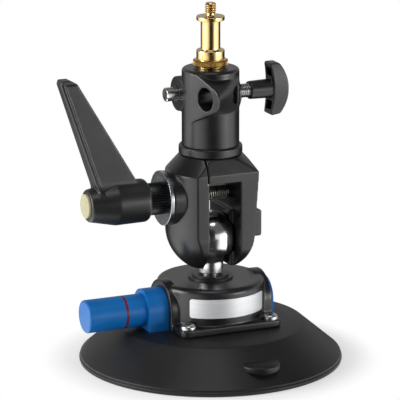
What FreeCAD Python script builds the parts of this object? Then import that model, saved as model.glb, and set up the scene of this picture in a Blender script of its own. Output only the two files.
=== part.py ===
import FreeCAD, Part
import math
import os

# Suction-cup mount with a pump, a ball and fork clamp, a swivelling socket and a brass spigot.
# Millimetres, +Z up. The origin is the centre of the cup's sealing face. X runs along the pump,
# with the plunger and the lever on the -X side, and -Y is the front.

V = FreeCAD.Vector
os.makedirs("parts", exist_ok=True)

# Clearances that several pieces share
run_clear = 0.05          # radial, a shaft that turns or slides in its bore
fixed_clear = 0.15        # radial, a fixed pin or screw in its hole
seat_clear = 0.3          # between curved faces of pieces that move apart
past = 1.0                # how far a cutting shape runs past what it cuts
arc_off = 1 - math.sqrt(0.5)    # a round corner's middle stands this share of its radius off both sides

# Suction cup
cup_r = 76.0
lip_h = 3.0
shoulder_r = 54.0
cup_shoulder_z = 21.8
cup_flat_r = 45.0
cup_top_z = 23.0
seal_inner_r = 68.0
hollow_edge_r = 64.0
hollow_top_z = 8.0
air_hole_r = 3.0
tab_r = 11.3              # finger tab, a shelf that stands out over the front of the cone
tab_x = 2.8
tab_y = -62.0
tab_low_z = 9.6
tab_top_z = 14.5

# Plate in the rubber, and the housing on it
plate_x = 56.0
plate_y = 60.0
plate_t = 2.0
flange_x = 62.0
flange_y = 64.0
flange_t = 4.3
flange_corner_r = 4.0
drum_r = 31.0
drum_top_z = 48.3
drum_round = 3.0
collar_out_r = 16.4
collar_len = 6.0
collar_out_x = 31.6
barrel_r = 12.2           # arch-shaped barrel of the pump and of the valve
barrel_z = 33.4
web_half = 7.85           # half thickness of the web between the two barrels
screw_x = 25.5
screw_y = 26.5
screw_head_r = 4.5
screw_head_h = 2.6
screw_head_round = 1.8
screw_slot_r = 2.25
screw_slot_depth = 1.5
screw_slot_share = 3.2    # the cross slot's length over its half width
screw_lift = 0.2          # the screw's end above the plate's underside
screw_r = 2.0
label_angle = 46.0        # half of the plate's sweep round the drum
label_low_z = 32.1
label_h = 11.0
label_t = 0.4
label_corner_r = 1.5

# Pump, left barrel
pump_out_x = 43.0         # how far the barrel's end stands from the axis
plunger_r = 9.5
plunger_out_x = 78.3
plunger_round = 1.2
plunger_travel = 26.0
plunger_bore_r = 7.0
plunger_wall = 11.5       # solid end of the plunger
plunger_joint_x = 42.0
piston_gap = 1.0          # left between the piston and the bore's end when it is pressed home
piston_hole_r = 6.6
piston_tail = 3.0
seal_x = 39.3
seal_wire_r = 0.95
seal_groove_w = 2.3
seal_floor_gap = 0.1
mark_x = 55.2
mark_w = 1.6
mark_t = 0.5
barrel_floor = 1.5        # end wall of each barrel's bore
vent_r = 1.2
vent_drop = 3.0           # the air way's height under the barrels' axis
check_valve_len = 16.5
plunger_spring_r = 5.4
plunger_spring_wire_r = 0.5
plunger_spring_turns = 9

# Release valve, right barrel
valve_out_x = 34.4
valve_stem_r = 3.0
valve_stem_out_x = 36.4
valve_stem_round = 0.8
valve_travel = 1.8
valve_collar_r = 4.2
valve_collar_t = 2.0
valve_spring_room = 3.9
valve_play = 0.2
valve_spring_r = 3.2
valve_spring_wire_r = 0.4
valve_spring_turns = 3

# Ball stud and its washers
washer_low_r = 13.0
washer_low_t = 1.0
washer_high_r = 10.5
washer_high_t = 1.2
washer_play = 0.1
ball_r = 15.0
ball_z = 72.5
stem_r = 7.35
thread_r = 5.0
thread_end_z = 33.0
thread_play = 0.5

# Fork
fork_low_z = 56.0
fork_shoulder_z = 112.5
fork_top_z = 121.5
fork_half_y = 20.0
fork_foot_y = 9.5
fork_foot_top_z = 76.0
fork_foot_bow = 3.5
fork_top_half_y = 17.0
fork_top_r = 18.0
slot_left_x = -9.4
slot_right_x = 10.2
slot_top_z = 107.7
pad_x = 8.2               # inner pads that hold the ball, each side of the slot
pad_top_z = 88.9
pad_front_y = 9.0
split_x = -9.7
split_gap = 0.7
right_top_x = 21.6
right_low_x = 19.0
right_low_z = 76.0
right_corner_x = 11.5
right_corner_rise = 0.6
right_bow = 1.6
left_r = 26.0
left_round_z = 77.0
left_foot_r = 13.0
left_bow = 3.0
cup_clear = 0.3
side_lug_x = 30.4
side_lug_root = 3.0
side_lug_round = 1.5
side_lug_half_y = 5.0
side_lug_low_z = 70.5
side_lug_high_z = 86.0

# Clamp screw through both jaws
clamp_z = 98.0
bolt_r = 3.0
bolt_clear = 0.25
clamp_boss_r = 15.5
clamp_boss_x = 28.8
clamp_washer_r = 15.75
clamp_washer_t = 2.2
clamp_washer_round = 0.4
nut_af = 10.0
nut_t = 5.0
nut_x = 15.0
clamp_spring_r = 3.85
clamp_spring_wire_r = 0.45
clamp_spring_turns = 13.5
core_end_x = 50.0
bolt_seat = 4.0           # depth of the lever screw's thread in the core
core_teeth = 40
core_r = 9.2
core_stub_step = 0.4
tooth_depth = 0.7
tooth_engage = 3.7
tooth_gap = 0.2

# Ratchet lever
hub_left_x = 76.0
hub_right_x = 40.2
hub_left_r = 9.3
hub_left_chamfer = 0.8
hub_mid_x = 60.0
hub_mid_r = 12.6
hub_right_r = 12.4
hub_round = 2.5
lever_travel = 4.0
lever_bore_r = 6.5
lever_wall_x = 57.0
lever_wall_t = 4.0
lever_cap_r = 6.9
lever_cap_t = 1.5
lever_cap_round = 0.5
lever_cap_tail = 2.5
lever_screw_r = 2.0
lever_screw_clear = 0.2
lever_screw_head_r = 5.4
lever_screw_head_h = 3.0
lever_spring_room = 5.0
lever_spring_r = 4.2
lever_spring_wire_r = 0.5
lever_spring_turns = 4
arm_top_z = 171.5
arm_top_left_x = -92.1
arm_top_right_x = -81.8
arm_low_z = 112.0
arm_low_left_x = -72.8
arm_low_right_x = -48.2
arm_top_drop = 2.5
arm_top_cut_left = 1.0
arm_top_cut_right = 4.5
arm_top_t = 8.0
arm_low_t = 12.0
arm_root_rise = 6.0       # the arm's root above the hub's axis
arm_root_t = 19.0
arm_root_bow = 0.84       # the hollow curve of the root, tangent to the arm
arm_round = 1.1
arm_rib = 2.4             # rib along the arm's left and top edges
arm_web_step = 0.7        # how far the web lies behind the rib

# Socket
ring_r = 18.2
ring_h = 5.4
ring_gap = 0.1
ring_round = 1.2
ring_step = 1.5
socket_r = 16.4
socket_top_z = 171.3
socket_round = 2.0
neck_r = 12.0
neck_low_z = 109.0
neck_chamfer = 0.8
neck_groove_r = 9.0
neck_groove_z = 116.5
neck_groove_w = 3.4
retainer_r = 1.4
retainer_x = 11.0
retainer_reach = 6.8      # how far the pin runs past the middle, from the back
spigot_r = 8.0
latch_z = 155.4
latch_boss_r = 10.0
latch_boss_x = 16.5
latch_back_r = 7.0
latch_back_x = 14.0
screw_z = 155.8           # height of the T-screw
screw_boss_r = 9.5
screw_boss_x = 15.5

# Lug for the cross hole: its face is flat, and it blends back into the round body
lug_z = 156.9
lug_angle = 19.9          # the cross hole's direction, turned from -X towards the front
lug_face = 16.5
lug_reach = 24.5
lug_nose_r = 7.3
lug_slope = 24.7
lug_back = 8.0
lug_back_reach = 16.0
lug_back_side = 14.5
lug_back_half = 11.2
lug_back_root_half = 12.0
lug_top_gap = 1.3
cross_offset = 12.8
cross_hole_w = 11.4
cross_hole_h = 13.2
cross_hole_back = 5.5     # the hole ends here, short of the T-screw

# Spigot: its steps from the foot to the thread
spigot_low_z = 136.0
spigot_shank_r = 7.8
spigot_edge = 0.6
recess_half = 10.9        # half height of the recess for the latch and the T-screw
recess_r = 5.5
spigot_rise = 1.2         # the knurled rim above the socket
knurl_h = 3.5
knurl_r = 10.0
knurl_depth = 0.4
knurl_teeth = 40
spigot_collar_h = 5.6
spigot_neck_h = 16.8
spigot_neck_r = 5.55
spigot_flange_h = 2.4
relief_r = 2.45
relief_h = 2.2
stud_r = 3.175
stud_h = 5.3
stud_chamfer = 0.5

# T-screw, latch pin and the key that holds it
t_screw_r = 4.0
t_screw_tip = 5.8
t_screw_hold = 8.0        # length of the screw in the knob
knob_x = 23.4
knob_hub_low_r = 5.2
knob_hub_high_r = 5.6
knob_hub_chamfer = 0.5
wing_x = 37.0
wing_root = 2.0
wing_out_x = 46.5
wing_end_x = 41.8
wing_end_corner = 1.0
wing_inner_end_x = 35.4
wing_inner_corner = 1.4
wing_inner_x = 37.2
wing_bow = 0.8
wing_half_z = 15.2
wing_half_y = 6.0
wing_end_half_y = 4.25
wing_pocket_depth = 4.0
wing_wall = 1.6
latch_r = 4.0
latch_out_x = 24.0
latch_in_x = 4.2
latch_travel = 5.0
latch_chamfer = 0.5
latch_floor_x = 12.0
key_r = 1.25              # grub screw that keeps the latch pin in its bore
key_x = -9.0
key_depth = 1.0
key_recess = 0.8
key_slot_depth = 0.8
key_slot_half = 0.2
latch_spring_r = 2.9
latch_spring_wire_r = 0.35
latch_spring_turns = 5

# Points looked at in each turn of a spring when its least gap is measured
gap_points = 24

# Worked out from the sizes above
flange_top_z = cup_top_z + flange_t
washer_mid_z = drum_top_z + washer_low_t
washer_top_z = washer_mid_z + washer_high_t
vent_z = barrel_z - vent_drop
latch_y = recess_r + seat_clear + latch_r
ring_low_z = fork_top_z + ring_gap
ring_top_z = ring_low_z + ring_h
neck_step_z = ring_top_z - ring_step
clamp_washer_x = clamp_boss_x + clamp_washer_t
bore_end_x = web_half + fixed_clear + barrel_floor
piston_end_x = bore_end_x + piston_gap + plunger_travel
valve_chamber_x = bore_end_x + valve_spring_room + valve_travel + valve_collar_t
valve_collar_x = valve_chamber_x - valve_collar_t - valve_play
tooth_end_x = hub_right_x + tooth_engage
bolt_head_x = core_end_x - bolt_seat
lever_screw_x = lever_wall_x + lever_travel + lever_spring_room
arm_shoulder_z = arm_top_z - arm_top_drop
bore_floor_z = spigot_low_z - seat_clear
recess_low_z = latch_z - recess_half
recess_high_z = latch_z + recess_half
knurl_low_z = socket_top_z + spigot_rise
knurl_high_z = knurl_low_z + knurl_h
spigot_collar_z = knurl_high_z + spigot_collar_h
spigot_flange_z = spigot_collar_z + spigot_neck_h
spigot_flange_top_z = spigot_flange_z + spigot_flange_h
relief_z = spigot_flange_top_z + relief_h
stud_top_z = relief_z + stud_h


def rod(r, x0, x1, y=0.0, z=0.0):
    return Part.makeCylinder(r, x1 - x0, V(x0, y, z), V(1, 0, 0))


def disc(r, z0, z1, x=0.0, y=0.0):
    return Part.makeCylinder(r, z1 - z0, V(x, y, z0), V(0, 0, 1))


def block(x0, x1, y0, y1, z0, z1):
    return Part.makeBox(x1 - x0, y1 - y0, z1 - z0, V(x0, y0, z0))


def outline(points):
    """A closed face through points; a pair of points marks an arc's middle and its end."""
    edges = []
    start = points[0]
    here = start
    for step in points[1:] + [start]:
        if isinstance(step, tuple):
            edges.append(Part.Arc(here, step[0], step[1]).toShape())
            here = step[1]
        elif (step - here).Length > 1e-6:
            edges.append(Part.makeLine(here, step))
            here = step
    return Part.Face(Part.Wire(edges))


def placed(points, place):
    """The outline of 2-D points, each put in space by place; a nested pair is an arc."""
    made = []
    for p in points:
        made.append((place(*p[0]), place(*p[1])) if isinstance(p[0], tuple) else place(*p))
    return outline(made)


def bowed(start, end, bow):
    """An arc for an outline. Its middle stands bow to the right of the line from start to end."""
    along = (end[0] - start[0], end[1] - start[1])
    length = math.hypot(*along)
    middle_x = (start[0] + end[0]) / 2 + along[1] / length * bow
    middle_y = (start[1] + end[1]) / 2 - along[0] / length * bow
    return (middle_x, middle_y), end


def turned_z(points):
    """Turns an outline of (radius, height) about the Z axis."""
    return placed(points, lambda r, z: V(r, 0, z)).revolve(V(0, 0, 0), V(0, 0, 1), 360)


def turned_x(points, y, z):
    """Turns an outline of (x, radius) about a line along X."""
    return placed(points, lambda x, r: V(x, y, z + r)).revolve(V(0, y, z), V(1, 0, 0), 360)


def prism_x(points, x0, x1):
    return placed(points, lambda y, z: V(x0, y, z)).extrude(V(x1 - x0, 0, 0))


def prism_y(points, y0, y1):
    return placed(points, lambda x, z: V(x, y0, z)).extrude(V(0, y1 - y0, 0))


def prism_z(points, z0, z1):
    return placed(points, lambda x, y: V(x, y, z0)).extrude(V(0, 0, z1 - z0))


def star(teeth, r_out, r_in):
    """The outline of a bar with straight-sided teeth, about the origin."""
    points = []
    for k in range(2 * teeth):
        r = r_out if k % 2 == 0 else r_in
        angle = math.pi * k / teeth
        points.append((r * math.cos(angle), r * math.sin(angle)))
    return points


def star_x(teeth, r_out, r_in, x0, x1, z):
    return prism_x([(y, z + up) for y, up in star(teeth, r_out, r_in)], x0, x1)


def hexagon_x(flats, x0, x1, z):
    corner = flats / math.sqrt(3)
    points = []
    for k in range(6):
        angle = math.radians(60 * k)
        points.append((corner * math.cos(angle), z + corner * math.sin(angle)))
    return prism_x(points, x0, x1)


def helix_point(r, start, length, turns, y, z, share):
    angle = 2 * math.pi * turns * share
    return V(start + length * share, y + r * math.cos(angle), z + r * math.sin(angle))


def helix_tangent(r, length, turns, share):
    angle = 2 * math.pi * turns * share
    sweep = 2 * math.pi * turns * r
    tangent = V(length, -sweep * math.sin(angle), sweep * math.cos(angle))
    return tangent.normalize()


def arc_from(start, corner, end):
    """The arc that leaves start towards corner and reaches end from it."""
    middle = (start + end) * 0.5
    to_corner = corner - middle
    tangent_len = (corner - start).Length
    half_chord = (end - start).Length / 2
    half_turn = math.acos(half_chord / tangent_len)
    radius = half_chord / math.sin(half_turn)
    rise = radius * (1 - math.cos(half_turn))
    return Part.Arc(start, middle + to_corner * (rise / to_corner.Length), end).toShape()


def least_gap(path, turns, wire_r):
    """The least clear space between turns, measured on points along the wire's middle."""
    count = int(round(turns * gap_points))
    points = path.discretize(Number=count + 1)
    near = gap_points // 2
    apart = [(points[i] - points[j]).Length for i in range(count + 1) for j in range(i + near, count + 1)]
    return min(apart) - 2 * wire_r


def coil_x(name, r, wire_r, turns, x0, x1, y, z):
    """A compression spring along X whose wire lies between x0 and x1, seat_clear/2 from each."""
    start = x0 + wire_r + seat_clear / 2
    length = x1 - x0 - 2 * wire_r - seat_clear
    spans = int(round(turns * 4))
    edges = []
    for k in range(spans):
        p0 = helix_point(r, start, length, turns, y, z, k / spans)
        p1 = helix_point(r, start, length, turns, y, z, (k + 1) / spans)
        t0 = helix_tangent(r, length, turns, k / spans)
        t1 = helix_tangent(r, length, turns, (k + 1) / spans)
        chord = p1 - p0
        along = chord.dot(t0 + t1)
        bend = 2 * (1 - t0.dot(t1))
        reach = (math.sqrt(along * along + bend * chord.dot(chord)) - along) / bend
        corner_0 = p0 + t0 * reach
        corner_1 = p1 - t1 * reach
        joint = (corner_0 + corner_1) * 0.5
        edges.append(arc_from(p0, corner_0, joint))
        edges.append(arc_from(joint, corner_1, p1))
    path = Part.Wire(edges)
    first = helix_point(r, start, length, turns, y, z, 0)
    heading = helix_tangent(r, length, turns, 0)
    section = Part.Wire([Part.makeCircle(wire_r, first, heading)])
    print("spring", name, "least gap", round(least_gap(path, turns, wire_r), 2), "mm")
    return path.makePipeShell([section], True, False)


def arch_x(half, low, x0, x1):
    """A barrel with a round top and straight sides down to low."""
    axis = barrel_z
    points = [(-half, low), (half, low), (half, axis), ((0, axis + half), (-half, axis))]
    return prism_x(points, x0, x1)


def sided(side, x0, x1):
    """A stretch along X on one side, given by distances from the middle, as its two ends in order."""
    return min(side * x0, side * x1), max(side * x0, side * x1)


def cross_recess(x, y, top):
    """The cross slot of a screw head."""
    size = screw_slot_r
    width = size / screw_slot_share
    low = top - screw_slot_depth
    long_way = block(x - size, x + size, y - width, y + width, low, top + past)
    wide_way = block(x - width, x + width, y - size, y + size, low, top + past)
    return long_way.fuse(wide_way).common(disc(size, low, top + past, x, y))


def rounded(shape, radius, chosen):
    """Rounds the edges for which chosen(edge) is true."""
    return shape.makeFillet(radius, [e for e in shape.Edges if chosen(e)])


def save(name, shape):
    shape.exportStep("parts/" + name + ".step")
    print(name, len(shape.Solids), "valid" if shape.isValid() else "NOT VALID", round(shape.Volume, 1))


def make_suction_cup():
    cup = turned_z([
        (air_hole_r, hollow_top_z),
        (hollow_edge_r, hollow_top_z),
        (seal_inner_r, 0),
        (cup_r, 0),
        (cup_r, lip_h),
        (shoulder_r, cup_shoulder_z),
        (cup_flat_r, cup_top_z),
        (air_hole_r, cup_top_z),
    ])
    cup = cup.fuse(disc(tab_r, tab_low_z, tab_top_z, tab_x, tab_y))
    pocket = block(-plate_x / 2, plate_x / 2, -plate_y / 2, plate_y / 2, cup_top_z - plate_t, cup_top_z)
    return cup.cut(pocket).removeSplitter()


def make_cup_plate():
    plate = block(-plate_x / 2, plate_x / 2, -plate_y / 2, plate_y / 2, cup_top_z - plate_t, cup_top_z)
    plate = plate.cut(disc(air_hole_r, cup_top_z - plate_t, cup_top_z))
    for x, y in screw_places():
        plate = plate.cut(disc(screw_r + fixed_clear, cup_top_z - plate_t, cup_top_z, x, y))
    return plate


def screw_places():
    return [(sx * screw_x, sy * screw_y) for sx in (-1, 1) for sy in (-1, 1)]


def make_pump_housing():
    half_x = flange_x / 2
    half_y = flange_y / 2
    flange = block(-half_x, half_x, -half_y, half_y, cup_top_z, flange_top_z)
    flange = rounded(flange, flange_corner_r, lambda e: abs(e.tangentAt(e.FirstParameter).z) > 0.99)
    soft = drum_round * arc_off
    drum = turned_z([
        (0, cup_top_z),
        (drum_r, cup_top_z),
        (drum_r, drum_top_z - drum_round),
        ((drum_r - soft, drum_top_z - soft), (drum_r - drum_round, drum_top_z)),
        (0, drum_top_z),
    ])
    body = drum.fuse(flange)
    for side in (-1, 1):
        collar = sided(side, collar_out_x - collar_len, collar_out_x)
        body = body.fuse(arch_x(collar_out_r, cup_top_z, *collar))
    channel_r = barrel_r + fixed_clear
    for side in (-1, 1):
        body = body.cut(arch_x(channel_r, cup_top_z - past, *sided(side, web_half, collar_out_x + past)))
    body = body.cut(disc(thread_r + run_clear, thread_end_z - thread_play, drum_top_z))
    body = body.cut(disc(air_hole_r + fixed_clear, cup_top_z, vent_z))
    body = body.cut(rod(vent_r, -web_half, web_half, 0, vent_z))
    for x, y in screw_places():
        body = body.cut(disc(screw_r + fixed_clear, cup_top_z, flange_top_z, x, y))
    return body.removeSplitter()


def make_housing_screws():
    screws = []
    head_top = flange_top_z + screw_head_h
    for x, y in screw_places():
        shank = disc(screw_r, cup_top_z - plate_t + screw_lift, flange_top_z, x, y)
        head = disc(screw_head_r, flange_top_z, head_top, x, y)
        head = rounded(head, screw_head_round, lambda e: e.BoundBox.ZMin > flange_top_z + screw_head_h / 2)
        head = head.cut(cross_recess(x, y, head_top))
        screws.append(shank.fuse(head))
    return Part.makeCompound(screws)


def make_label_plate():
    r_in = drum_r + run_clear
    top = label_low_z + label_h
    ring = disc(r_in + label_t, label_low_z, top).cut(disc(r_in, label_low_z, top))
    reach = 2 * drum_r
    spread = reach * math.tan(math.radians(label_angle))
    wedge = prism_z([(0, 0), (-spread, -reach), (spread, -reach)], label_low_z, top)
    label = ring.common(wedge)
    return rounded(label, label_corner_r, lambda e: e.Length < 2 * label_t)


def make_check_valve():
    low = hollow_top_z + past
    stem = disc(air_hole_r - fixed_clear, low, low + check_valve_len)
    return stem.cut(disc(vent_r, low, low + check_valve_len))


def make_barrel(side, x_end):
    barrel = arch_x(barrel_r, cup_top_z, *sided(side, web_half + fixed_clear, x_end))
    return barrel.cut(rod(vent_r, *sided(side, web_half + fixed_clear, bore_end_x + past), 0, vent_z))


def make_pump_body():
    bore = rod(plunger_r + 2 * run_clear, *sided(-1, bore_end_x, pump_out_x + past), 0, barrel_z)
    return make_barrel(-1, pump_out_x).cut(bore)


def make_valve_body():
    barrel = make_barrel(1, valve_out_x)
    chamber = rod(valve_collar_r + fixed_clear, bore_end_x, valve_chamber_x, 0, barrel_z)
    stem_hole = rod(valve_stem_r + run_clear, bore_end_x, valve_out_x + past, 0, barrel_z)
    return barrel.cut(chamber).cut(stem_hole)


def make_stud_washer():
    low = disc(washer_low_r, drum_top_z, washer_mid_z)
    high = disc(washer_high_r, washer_mid_z, washer_top_z)
    hole = disc(thread_r + run_clear, drum_top_z, washer_top_z)
    return low.fuse(high).cut(hole).removeSplitter()


def make_plunger():
    soft = plunger_round * arc_off
    tube = turned_x([
        (-plunger_out_x, 0),
        (-plunger_out_x, plunger_r - plunger_round),
        ((-plunger_out_x + soft, plunger_r - soft), (-plunger_out_x + plunger_round, plunger_r)),
        (-plunger_joint_x, plunger_r),
        (-plunger_joint_x, 0),
    ], 0, barrel_z)
    tube = tube.cut(rod(plunger_bore_r, -plunger_out_x + plunger_wall, -plunger_joint_x, 0, barrel_z))
    return tube.cut(mark_ring(plunger_r + past, plunger_r - mark_t))


def mark_ring(r_out, r_in):
    """A ring where the plunger's mark lies."""
    x0 = -mark_x - mark_w / 2
    x1 = -mark_x + mark_w / 2
    return rod(r_out, x0, x1, 0, barrel_z).cut(rod(r_in, x0, x1, 0, barrel_z))


def make_plunger_mark():
    return mark_ring(plunger_r, plunger_r - mark_t + run_clear)


def make_piston():
    tail_x = -plunger_joint_x - piston_tail
    head = rod(plunger_r - run_clear, -plunger_joint_x, -piston_end_x, 0, barrel_z)
    tail = rod(plunger_bore_r - fixed_clear / 2, tail_x, -plunger_joint_x, 0, barrel_z)
    groove_x0 = -seal_x - seal_groove_w / 2
    groove_x1 = -seal_x + seal_groove_w / 2
    floor_r = plunger_r - 2 * seal_wire_r - seal_floor_gap
    groove = rod(plunger_r + past, groove_x0, groove_x1, 0, barrel_z)
    groove = groove.cut(rod(floor_r, groove_x0, groove_x1, 0, barrel_z))
    hole = rod(piston_hole_r, tail_x, -piston_end_x, 0, barrel_z)
    return head.fuse(tail).cut(groove).cut(hole).removeSplitter()


def make_piston_seal():
    ring_mid_r = plunger_r + run_clear - seal_wire_r
    return Part.makeTorus(ring_mid_r, seal_wire_r, V(-seal_x, 0, barrel_z), V(1, 0, 0))


def make_plunger_spring():
    x0 = -plunger_out_x + plunger_wall
    return coil_x("plunger", plunger_spring_r, plunger_spring_wire_r, plunger_spring_turns,
                  x0, -bore_end_x, 0, barrel_z)


def make_valve_stem():
    x_in = valve_collar_x
    stem = rod(valve_stem_r, x_in, valve_stem_out_x, 0, barrel_z)
    stem = rounded(stem, valve_stem_round, lambda e: e.BoundBox.XMin > valve_out_x)
    return stem.fuse(rod(valve_collar_r, x_in, x_in + valve_collar_t, 0, barrel_z)).removeSplitter()


def make_valve_spring():
    return coil_x("valve", valve_spring_r, valve_spring_wire_r, valve_spring_turns,
                  bore_end_x, valve_collar_x, 0, barrel_z)


def make_ball_stud():
    stem_low = washer_top_z + washer_play
    ball = Part.makeSphere(ball_r, V(0, 0, ball_z))
    stem = disc(stem_r, stem_low, ball_z)
    thread = disc(thread_r, thread_end_z, stem_low)
    return ball.fuse(stem).fuse(thread).removeSplitter()


def fork_side_profile():
    """The fork seen along X: straight sides, a round foot and a sloping shoulder."""
    foot = (fork_foot_y, fork_low_z)
    foot_top = (fork_half_y, fork_foot_top_z)
    return [
        (-fork_foot_y, fork_low_z),
        foot,
        bowed(foot, foot_top, fork_foot_bow),
        (fork_half_y, fork_shoulder_z),
        (fork_top_half_y, fork_top_z),
        (-fork_top_half_y, fork_top_z),
        (-fork_half_y, fork_shoulder_z),
        (-fork_half_y, fork_foot_top_z),
        bowed((-fork_half_y, fork_foot_top_z), (-fork_foot_y, fork_low_z), fork_foot_bow),
    ]


def shoulder_cone(corner_r):
    """A turned body whose shoulder runs from corner_r in to the top of the fork."""
    return turned_z([
        (0, fork_low_z),
        (corner_r, fork_low_z),
        (corner_r, fork_shoulder_z),
        (fork_top_r, fork_top_z),
        (0, fork_top_z),
    ])


def neck_bore():
    return disc(neck_r + run_clear, slot_top_z, fork_top_z + past)


def ball_seat():
    return Part.makeSphere(ball_r + cup_clear, V(0, 0, ball_z))


def make_fixed_jaw():
    corner = (right_corner_x, fork_low_z + right_corner_rise)
    jaw = prism_y([
        (split_x, slot_top_z),
        (slot_right_x, slot_top_z),
        (slot_right_x, pad_top_z),
        (pad_x, pad_top_z),
        (pad_x, fork_low_z),
        (slot_right_x, fork_low_z),
        corner,
        bowed(corner, (right_low_x, right_low_z), right_bow),
        (right_top_x, fork_shoulder_z),
        (fork_top_r, fork_top_z),
        (split_x, fork_top_z),
    ], -fork_half_y, fork_half_y)
    jaw = jaw.common(prism_x(fork_side_profile(), split_x, right_top_x))
    jaw = jaw.common(shoulder_cone(math.hypot(right_top_x, fork_half_y)))
    jaw = jaw.cut(block(0, slot_right_x, -fork_half_y - past, -pad_front_y, fork_low_z - past, slot_top_z))
    lug = block(right_low_x - side_lug_root, side_lug_x, -side_lug_half_y, side_lug_half_y,
                side_lug_low_z, side_lug_high_z)
    jaw = jaw.fuse(rounded(lug, side_lug_round, lambda e: e.BoundBox.XMin > right_top_x)).removeSplitter()
    jaw = jaw.cut(ball_seat())
    jaw = jaw.cut(neck_bore())
    jaw = jaw.cut(rod(bolt_r + bolt_clear, slot_right_x - past, nut_x + past, 0, clamp_z))
    jaw = jaw.cut(hexagon_x(nut_af + 2 * fixed_clear, nut_x, right_top_x + past, clamp_z))
    hole_start = V(retainer_x, -retainer_reach - fixed_clear, neck_groove_z)
    hole = Part.makeCylinder(retainer_r + fixed_clear / 2, 2 * fork_half_y, hole_start, V(0, 1, 0))
    return jaw.cut(hole)


def make_moving_jaw():
    foot = (left_foot_r, fork_low_z)
    body = turned_z([
        (0, fork_low_z),
        foot,
        bowed(foot, (left_r, left_round_z), left_bow),
        (left_r, fork_shoulder_z),
        (fork_top_r, fork_top_z),
        (0, fork_top_z),
    ])
    body = body.common(prism_x(fork_side_profile(), -left_r, -pad_x))
    body = body.cut(block(slot_left_x, 0, -left_r, left_r, pad_top_z, fork_top_z + past))
    body = body.cut(block(slot_left_x, 0, -left_r, -pad_front_y, fork_low_z - past, fork_top_z + past))
    body = body.cut(block(split_x - split_gap, 0, -left_r, left_r, slot_top_z, fork_top_z + past))
    body = body.fuse(rod(clamp_boss_r, -clamp_boss_x, split_x - split_gap, 0, clamp_z))
    body = body.cut(ball_seat())
    body = body.cut(neck_bore())
    body = body.cut(rod(bolt_r + bolt_clear, -clamp_boss_x - past, 0, 0, clamp_z))
    return body.removeSplitter()


def make_clamp_nut():
    nut = hexagon_x(nut_af, nut_x, nut_x + nut_t, clamp_z)
    return nut.cut(rod(bolt_r + run_clear, nut_x, nut_x + nut_t, 0, clamp_z))


def make_swivel_retainer():
    length = fork_top_half_y + retainer_reach
    return Part.makeCylinder(retainer_r, length, V(retainer_x, -retainer_reach, neck_groove_z), V(0, 1, 0))


def make_clamp_spring():
    return coil_x("clamp", clamp_spring_r, clamp_spring_wire_r, clamp_spring_turns,
                  slot_left_x, slot_right_x, 0, clamp_z)


def make_clamp_washer():
    washer = rod(clamp_washer_r, -clamp_washer_x, -clamp_boss_x, 0, clamp_z)
    washer = rounded(washer, clamp_washer_round, lambda e: True)
    return washer.cut(rod(bolt_r + fixed_clear, -clamp_washer_x, -clamp_boss_x, 0, clamp_z))


def make_ratchet_core():
    teeth = star_x(core_teeth, core_r, core_r - tooth_depth, -tooth_end_x, -clamp_washer_x, clamp_z)
    stub = rod(core_r - tooth_depth - core_stub_step, -core_end_x, -tooth_end_x, 0, clamp_z)
    core = teeth.fuse(stub)
    core = core.cut(rod(bolt_r + fixed_clear, -bolt_head_x, -clamp_washer_x, 0, clamp_z))
    core = core.cut(rod(lever_screw_r + fixed_clear, -core_end_x, -bolt_head_x, 0, clamp_z))
    return core.removeSplitter()


def make_clamp_bolt():
    return rod(bolt_r, -bolt_head_x, nut_x + nut_t, 0, clamp_z)


def make_lever_screw():
    shank = rod(lever_screw_r, -lever_screw_x, -bolt_head_x - lever_screw_clear, 0, clamp_z)
    head = rod(lever_screw_head_r, -lever_screw_x - lever_screw_head_h, -lever_screw_x, 0, clamp_z)
    return shank.fuse(head).removeSplitter()


def make_lever_spring():
    return coil_x("lever", lever_spring_r, lever_spring_wire_r, lever_spring_turns,
                  -lever_screw_x, -lever_wall_x, 0, clamp_z)


def arm_block(narrower):
    """A slab that is as thick as the arm less narrower on each side, thicker at its root."""
    root_z = clamp_z + arm_root_rise
    root_half = arm_root_t / 2 - narrower
    low_half = arm_low_t / 2 - narrower
    top_half = arm_top_t / 2 - narrower
    return prism_x([
        (root_half, root_z),
        bowed((root_half, root_z), (low_half, arm_low_z), -arm_root_bow),
        (top_half, arm_top_z),
        (-top_half, arm_top_z),
        (-low_half, arm_low_z),
        bowed((-low_half, arm_low_z), (-root_half, root_z), -arm_root_bow),
    ], arm_top_left_x - past, 0)


def make_lever_arm():
    lean_left = (arm_top_left_x - arm_low_left_x) / (arm_shoulder_z - arm_low_z)
    lean_right = (arm_top_right_x - arm_low_right_x) / (arm_shoulder_z - arm_low_z)
    root_z = clamp_z + arm_root_rise
    root_left = arm_low_left_x + lean_left * (root_z - arm_low_z)
    root_right = arm_low_right_x + lean_right * (root_z - arm_low_z)
    arm = prism_y([
        (root_left, root_z),
        (root_right, root_z),
        (arm_top_right_x, arm_shoulder_z),
        (arm_top_right_x - arm_top_cut_right, arm_top_z),
        (arm_top_left_x + arm_top_cut_left, arm_top_z),
        (arm_top_left_x, arm_shoulder_z),
    ], -arm_root_t, arm_root_t).common(arm_block(0))
    arm = rounded(arm, arm_round, lambda e: abs(e.tangentAt(e.FirstParameter).z) > 0.5
                  and e.CenterOfMass.z < arm_shoulder_z and abs(e.CenterOfMass.y) > arm_top_t / 4)
    beside = past + arm_rib
    web = prism_y([
        (root_left + arm_rib, root_z - past),
        (root_right + beside, root_z - past),
        (arm_top_right_x + beside, arm_top_z - arm_rib),
        (arm_top_left_x + arm_rib, arm_top_z - arm_rib),
    ], -arm_root_t, arm_root_t)
    return arm.cut(web.cut(arm_block(arm_web_step)))


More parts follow.
